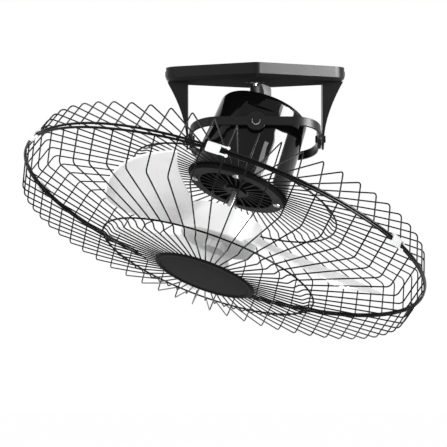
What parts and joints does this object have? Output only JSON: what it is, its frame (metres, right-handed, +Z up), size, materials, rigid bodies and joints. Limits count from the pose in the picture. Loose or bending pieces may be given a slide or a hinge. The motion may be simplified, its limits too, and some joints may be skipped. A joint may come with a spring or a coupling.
{
  "type": "orbital ceiling fan",
  "caption": "Ceiling fan with a round wire-caged head that swings in a two-axis gimbal below a flat six-sided base with two tapered arms.",
  "frame": {"origin": "centre of the base's top face, on the ceiling", "axes": "+Z up into the ceiling, +X along the axis through the two arms, -Y towards the side the picture was taken from"},
  "size_m": [0.476, 0.4826, 0.3364],
  "materials": {
    "gloss_black_steel": "gloss black enamel",
    "black_steel": "semi-gloss black enamel",
    "cast_zinc": "die-cast zinc, tumbled",
    "zinc_steel": "zinc plated",
    "gloss_black_shell": "gloss black enamel on pressed steel",
    "satin_black_cap": "semi-gloss black on die-cast metal",
    "black_wire": "black powder coat",
    "badge_grey": "fine matt texture",
    "bright_steel": "bright plated",
    "white_nylon": "natural nylon",
    "capacitor_case": "plain",
    "rubber_black": "plain",
    "bronze": "oil-filled bronze",
    "core_steel": "stacked sheets",
    "copper_winding": "enamelled copper wire, varnished",
    "blade_white": "moulded white plastic",
    "clip_clear": "clear moulded plastic"
  },
  "bodies": {
    "base": {"mount_bracket": "zinc_steel", "base_tray": "gloss_black_steel", "tray_screws": "black_steel", "cord_grommet": "rubber_black", "terminal_block": "white_nylon", "capacitor": "capacitor_case", "arm_left": "black_steel", "arm_right": "black_steel", "arm_screws": "bright_steel", "arm_bushes": "white_nylon", "pivot_seat": "black_steel", "seat_rivets": "black_steel"},
    "gimbal_frame": {"gimbal_ring": "black_steel", "ring_pins": "black_steel", "ring_bushes": "white_nylon"},
    "head": {"motor_housing": "gloss_black_shell", "pivot_pins": "black_steel", "front_cap": "satin_black_cap", "cap_screws": "bright_steel", "front_bearing": "bronze", "stator_core": "core_steel", "windings": "copper_winding", "bearing_plate": "zinc_steel", "rear_bearing": "bronze", "orbit_gearmotor": "capacitor_case", "gearmotor_screws": "bright_steel", "rear_hub_plate": "black_wire", "rear_wires": "black_wire", "rear_ring": "black_wire", "rear_rim": "black_wire", "front_wires": "black_wire", "front_ring": "black_wire", "front_rim": "black_wire", "badge_plate": "black_wire", "badge": "badge_grey", "badge_screws": "bright_steel", "guard_clips": "clip_clear"},
    "crank": {"crank_shaft": "bright_steel", "crank_arm": "cast_zinc", "crank_sleeve": "rubber_black", "crank_pin": "bright_steel", "crank_screw": "bright_steel"},
    "rotor": {"motor_shaft": "bright_steel", "rotor_core": "core_steel", "shaft_collar": "bright_steel", "blade_hub": "blade_white", "blades": "blade_white", "blade_nut": "blade_white"}
  },
  "joints": [
    {"name": "frame_tilt", "type": "hinge", "parent": "base", "child": "gimbal_frame", "pos_m": [0, 0, -0.086], "axis": [1, 0, 0], "range_deg": [-7.85, 45.55]},
    {"name": "head_tilt", "type": "hinge", "parent": "gimbal_frame", "child": "head", "pos_m": [0, 0, -0.086], "axis": [0, 0.9464, -0.3231], "range_deg": [-45.99, 7.41]},
    {"name": "crank_spin", "type": "hinge", "parent": "head", "child": "crank", "pos_m": [0, 0, -0.086], "axis": [0.3304, 0.305, 0.8932], "continuous": true},
    {"name": "blade_spin", "type": "hinge", "parent": "head", "child": "rotor", "pos_m": [0, 0, -0.086], "axis": [0.3304, 0.305, 0.8932], "continuous": true}
  ]
}
